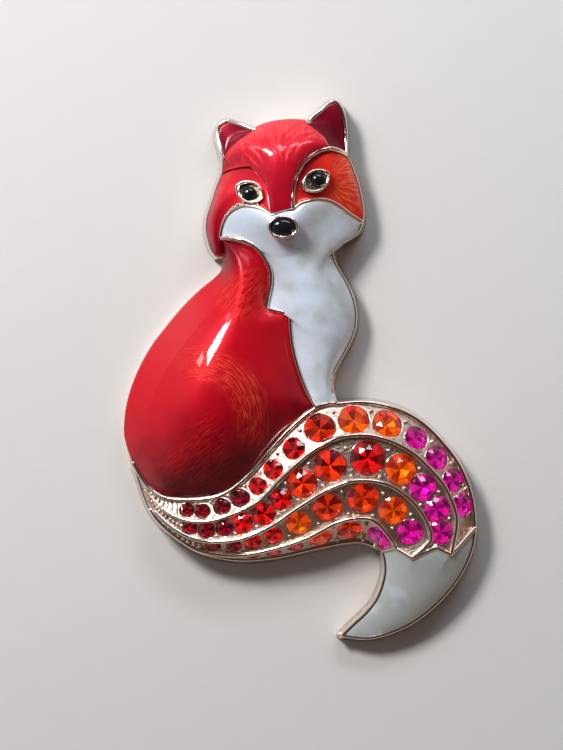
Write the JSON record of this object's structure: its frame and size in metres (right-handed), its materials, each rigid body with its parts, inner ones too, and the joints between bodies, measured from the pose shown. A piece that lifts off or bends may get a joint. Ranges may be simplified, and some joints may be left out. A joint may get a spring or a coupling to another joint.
{
  "type": "seated fox brooch",
  "caption": "Seated fox brooch: hollow-backed gilt casting with red and white enamel, rows of faceted stones along the swept tail, black cabochon eyes and nose, and a plain pin.",
  "frame": {"origin": "middle of the brooch's box, at its flat back rim", "axes": "+X across the brooch to the side that its tail sweeps to, +Y from the tail to the ears, +Z out of its face"},
  "size_m": [0.0396, 0.0607, 0.009],
  "materials": {
    "pale_gold": "polished rose-gold plate",
    "pin_metal": "gold plated",
    "red_enamel": "translucent gloss over engraved metal",
    "orange_red_enamel": "translucent gloss over engraved metal",
    "dark_red_enamel": "translucent gloss",
    "white_enamel": "pearl gloss",
    "black_glass": "gloss",
    "stone_garnet": "faceted, foil backed",
    "stone_red": "faceted, foil backed",
    "stone_orange": "faceted, foil backed",
    "stone_hyacinth": "faceted, foil backed",
    "stone_fuchsia": "faceted, foil backed"
  },
  "bodies": {
    "root": {"casting": "pale_gold", "brooch_pin": "pin_metal", "body_enamel": "red_enamel", "forehead_enamel": "red_enamel", "left_cheek_enamel": "orange_red_enamel", "right_cheek_enamel": "orange_red_enamel", "left_ear_enamel": "dark_red_enamel", "right_ear_enamel": "dark_red_enamel", "face_and_bib_enamel": "white_enamel", "tail_tip_enamel": "white_enamel", "left_eye": "black_glass", "right_eye": "black_glass", "nose": "black_glass", "row_1_stone_01": "stone_garnet", "row_1_stone_02": "stone_garnet", "row_1_stone_03": "stone_garnet", "row_1_stone_04": "stone_garnet", "row_1_stone_05": "stone_red", "row_1_stone_06": "stone_red", "row_1_stone_07": "stone_red", "row_1_stone_08": "stone_hyacinth", "row_1_stone_09": "stone_orange", "row_1_stone_10": "stone_orange", "row_1_stone_11": "stone_fuchsia", "row_1_stone_12": "stone_fuchsia", "row_1_stone_13": "stone_fuchsia", "row_1_stone_14": "stone_fuchsia", "row_2_stone_01": "stone_garnet", "row_2_stone_02": "stone_garnet", "row_2_stone_03": "stone_garnet", "row_2_stone_04": "stone_red", "row_2_stone_05": "stone_red", "row_2_stone_06": "stone_red", "row_2_stone_07": "stone_hyacinth", "row_2_stone_08": "stone_hyacinth", "row_2_stone_09": "stone_red", "row_2_stone_10": "stone_orange", "row_2_stone_11": "stone_fuchsia", "row_2_stone_12": "stone_fuchsia", "row_2_stone_13": "stone_fuchsia", "row_3_stone_01": "stone_garnet", "row_3_stone_02": "stone_garnet", "row_3_stone_03": "stone_red", "row_3_stone_04": "stone_red", "row_3_stone_05": "stone_orange", "row_3_stone_06": "stone_hyacinth", "row_3_stone_07": "stone_hyacinth", "row_3_stone_08": "stone_orange", "row_3_stone_09": "stone_fuchsia", "row_4_stone_01": "stone_red", "row_4_stone_02": "stone_red", "row_4_stone_03": "stone_red", "row_4_stone_04": "stone_hyacinth", "row_4_stone_05": "stone_hyacinth", "row_4_stone_06": "stone_fuchsia"}
  },
  "joints": []
}
